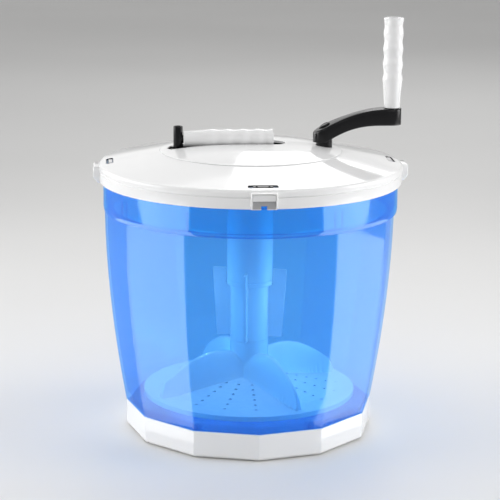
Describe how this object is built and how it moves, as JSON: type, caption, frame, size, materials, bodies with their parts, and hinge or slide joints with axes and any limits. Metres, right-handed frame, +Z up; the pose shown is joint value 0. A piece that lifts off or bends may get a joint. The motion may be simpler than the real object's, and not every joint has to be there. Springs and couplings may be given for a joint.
{
  "type": "manual shoe washing machine",
  "caption": "Hand cranked shoe washing tub: translucent blue faceted wall, white geared lid with pull latches, upright crank grip, folding side grip and finned agitator.",
  "frame": {"origin": "centre of the footprint on the ground plane, on the tub's upright axis", "axes": "+Z up along the tub's axis, -Y towards the front of the picture with one tub corner, +X towards the crank and its upright grip"},
  "size_m": [0.3074, 0.3074, 0.4073],
  "materials": {
    "tub_blue": "translucent, polished",
    "lid_white": "glossy moulded",
    "agitator_white": "satin moulded",
    "gear_plastic": "machined acetal",
    "arm_black": "satin moulded",
    "steel": "zinc plated",
    "brass": "turned",
    "seal_rubber": "matte",
    "foot_rubber": "matte"
  },
  "bodies": {
    "tub": {"tub_shell": "tub_blue", "base_shell": "lid_white", "rubber_foot_1": "foot_rubber", "rubber_foot_2": "foot_rubber", "rubber_foot_3": "foot_rubber", "rubber_foot_4": "foot_rubber", "base_screw_1": "steel", "base_screw_2": "steel", "base_screw_3": "steel", "base_screw_4": "steel", "pivot_pin": "steel", "thrust_washer": "steel"},
    "lid": {"lid_shell": "lid_white", "seal_ring": "seal_rubber", "gearbox_cover": "lid_white", "cover_screw_1": "steel", "cover_screw_2": "steel", "cover_screw_3": "steel", "cover_screw_4": "steel", "cover_screw_5": "steel", "cover_screw_6": "steel", "crank_bush": "brass", "tube_bush": "brass", "journal_bush": "brass", "handle_pin": "steel"},
    "crank": {"crank_gear": "gear_plastic", "crank_shaft": "steel", "crank_arm": "arm_black", "crank_screw": "steel", "crank_cap": "arm_black", "grip_pin": "steel"},
    "grip": {"crank_grip": "lid_white"},
    "drive": {"drive_gear": "gear_plastic", "drive_tube": "agitator_white", "retaining_ring": "steel"},
    "agitator": {"agitator_plate": "agitator_white", "agitator_column": "agitator_white", "pivot_bush": "brass"},
    "handle": {"handle_lever": "arm_black", "handle_grip": "lid_white"},
    "latch_right": {"latch_clip_right": "lid_white"},
    "latch_back": {"latch_clip_back": "lid_white"},
    "latch_left": {"latch_clip_left": "lid_white"},
    "latch_front": {"latch_clip_front": "lid_white"}
  },
  "joints": [
    {"name": "lid_lift", "type": "slide", "parent": "tub", "child": "lid", "axis": [0, 0, 1], "range_m": [0, 0.14]},
    {"name": "crank_turn", "type": "hinge", "parent": "lid", "child": "crank", "pos_m": [0.072, 0, 0.285], "axis": [0, 0, 1], "continuous": true},
    {"name": "grip_spin", "type": "hinge", "parent": "crank", "child": "grip", "pos_m": [0.138, 0, 0.36], "axis": [0, 0, 1], "continuous": true},
    {"name": "drive_turn", "type": "hinge", "parent": "lid", "child": "drive", "pos_m": [0, 0, 0.26], "axis": [0, 0, 1], "continuous": true},
    {"name": "agitator_turn", "type": "hinge", "parent": "tub", "child": "agitator", "pos_m": [0, 0, 0.045], "axis": [0, 0, 1], "continuous": true},
    {"name": "handle_fold", "type": "hinge", "parent": "lid", "child": "handle", "pos_m": [-0.0777, 0, 0.2797], "axis": [0, -1, 0], "range_deg": [0, 90]},
    {"name": "latch_pull_right", "type": "slide", "parent": "lid", "child": "latch_right", "axis": [1, 0, 0], "range_m": [0, 0.0016]},
    {"name": "latch_pull_back", "type": "slide", "parent": "lid", "child": "latch_back", "axis": [0, 1, 0], "range_m": [0, 0.0016]},
    {"name": "latch_pull_left", "type": "slide", "parent": "lid", "child": "latch_left", "axis": [-1, 0, 0], "range_m": [0, 0.0016]},
    {"name": "latch_pull_front", "type": "slide", "parent": "lid", "child": "latch_front", "axis": [0, -1, 0], "range_m": [0, 0.0016]}
  ],
  "couplings": [
    {"joint": "drive_turn", "follows": "crank_turn", "ratio": -2},
    {"joint": "agitator_turn", "follows": "crank_turn", "ratio": -2}
  ]
}
